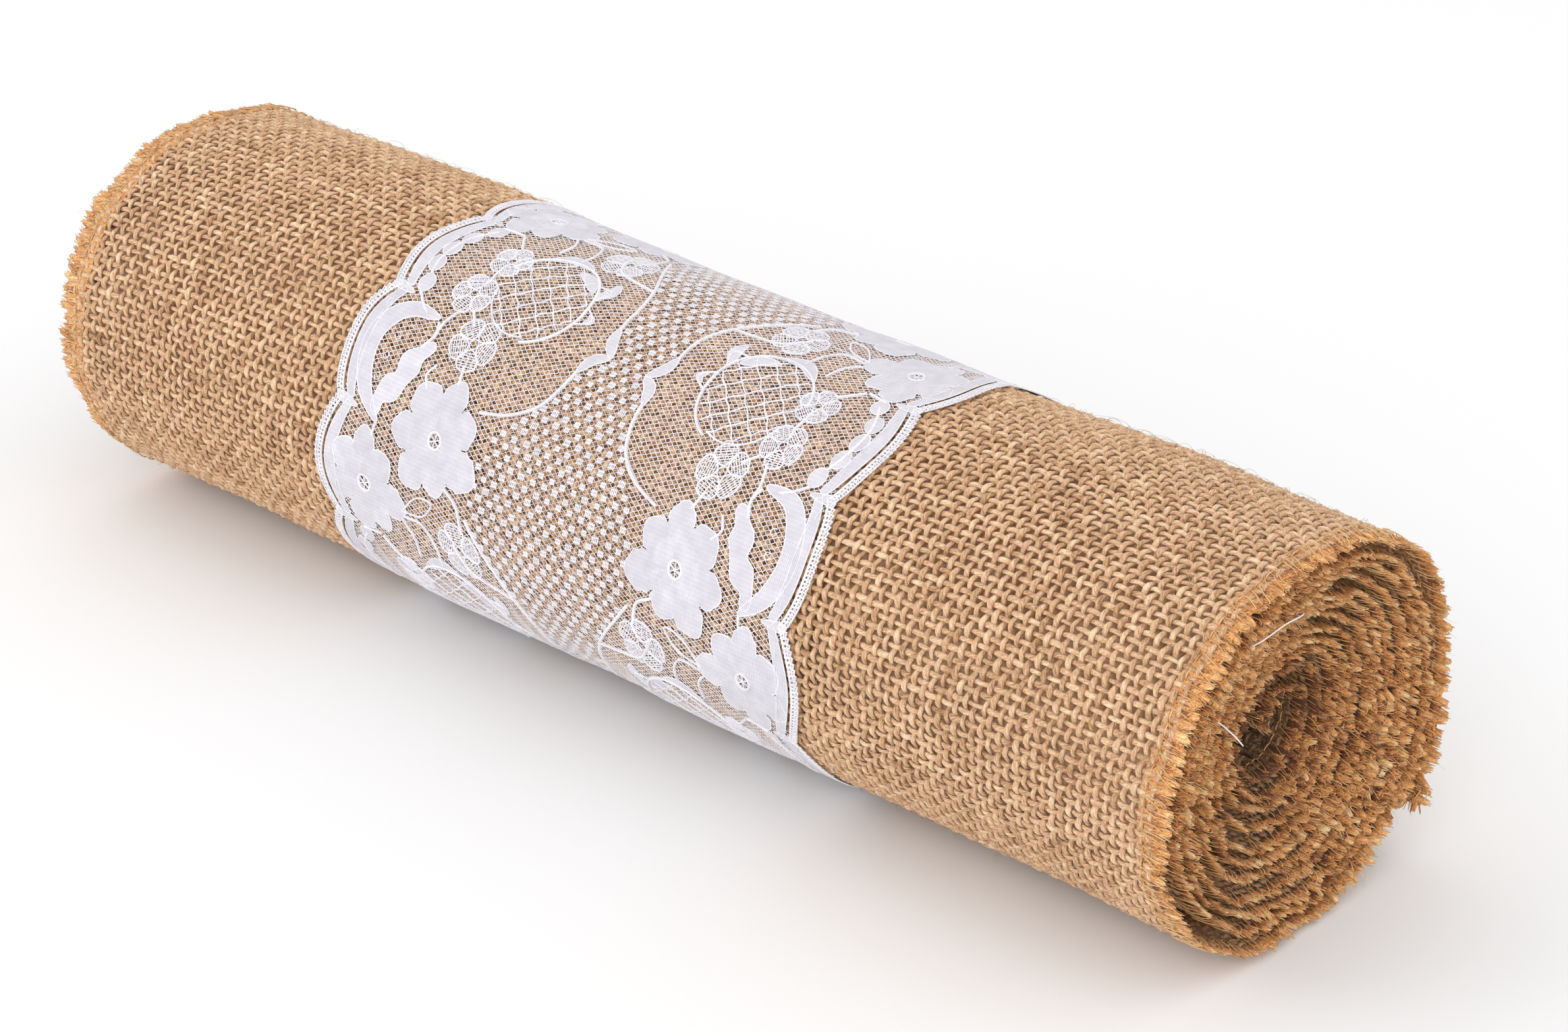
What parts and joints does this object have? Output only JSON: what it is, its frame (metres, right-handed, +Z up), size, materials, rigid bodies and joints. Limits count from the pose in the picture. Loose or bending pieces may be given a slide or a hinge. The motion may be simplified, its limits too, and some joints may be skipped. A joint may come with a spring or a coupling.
{
  "type": "table runner",
  "caption": "Rolled-up woven jute table runner with a scalloped lace band along its middle, stitched edges and a loose outer end that lifts off the roll.",
  "frame": {"origin": "on the surface the roll lies on, under the middle of its bounding box", "axes": "+X along the roll's axis towards the end with the hollow face, +Z up, the cloth's loose end low on the +Y side"},
  "size_m": [0.312, 0.0852, 0.0763],
  "materials": {
    "burlap": "coarse plain-weave natural jute, matt, slightly hairy",
    "overlock_thread": "golden overlock stitches over the jute edge, slightly glossy",
    "lace": "white knitted floral lace with a soft sheen",
    "seam_thread": "fine white sewing thread"
  },
  "bodies": {
    "roll": {"burlap_roll": "burlap", "lace_roll": "lace", "near_edge_overlock_roll": "overlock_thread", "far_edge_overlock_roll": "overlock_thread", "near_lace_seam_roll": "seam_thread", "far_lace_seam_roll": "seam_thread", "hem_inner_end": "overlock_thread"},
    "tail_upper": {"burlap_tail_upper": "burlap", "lace_tail_upper": "lace", "near_edge_overlock_tail_upper": "overlock_thread", "far_edge_overlock_tail_upper": "overlock_thread", "near_lace_seam_tail_upper": "seam_thread", "far_lace_seam_tail_upper": "seam_thread"},
    "tail_lower": {"burlap_tail_lower": "burlap", "lace_tail_lower": "lace", "near_edge_overlock_tail_lower": "overlock_thread", "far_edge_overlock_tail_lower": "overlock_thread", "near_lace_seam_tail_lower": "seam_thread", "far_lace_seam_tail_lower": "seam_thread", "hem_outer_end": "overlock_thread"}
  },
  "joints": [
    {"name": "tail_upper_lift", "type": "hinge", "parent": "roll", "child": "tail_upper", "pos_m": [0, 0.02302, 0.07115], "axis": [1, 0, 0], "range_deg": [0, 40]},
    {"name": "tail_lower_lift", "type": "hinge", "parent": "tail_upper", "child": "tail_lower", "pos_m": [0, 0.04229, 0.04445], "axis": [1, 0, 0], "range_deg": [0, 40]}
  ],
  "couplings": [
    {"joint": "tail_lower_lift", "follows": "tail_upper_lift", "ratio": 1}
  ]
}
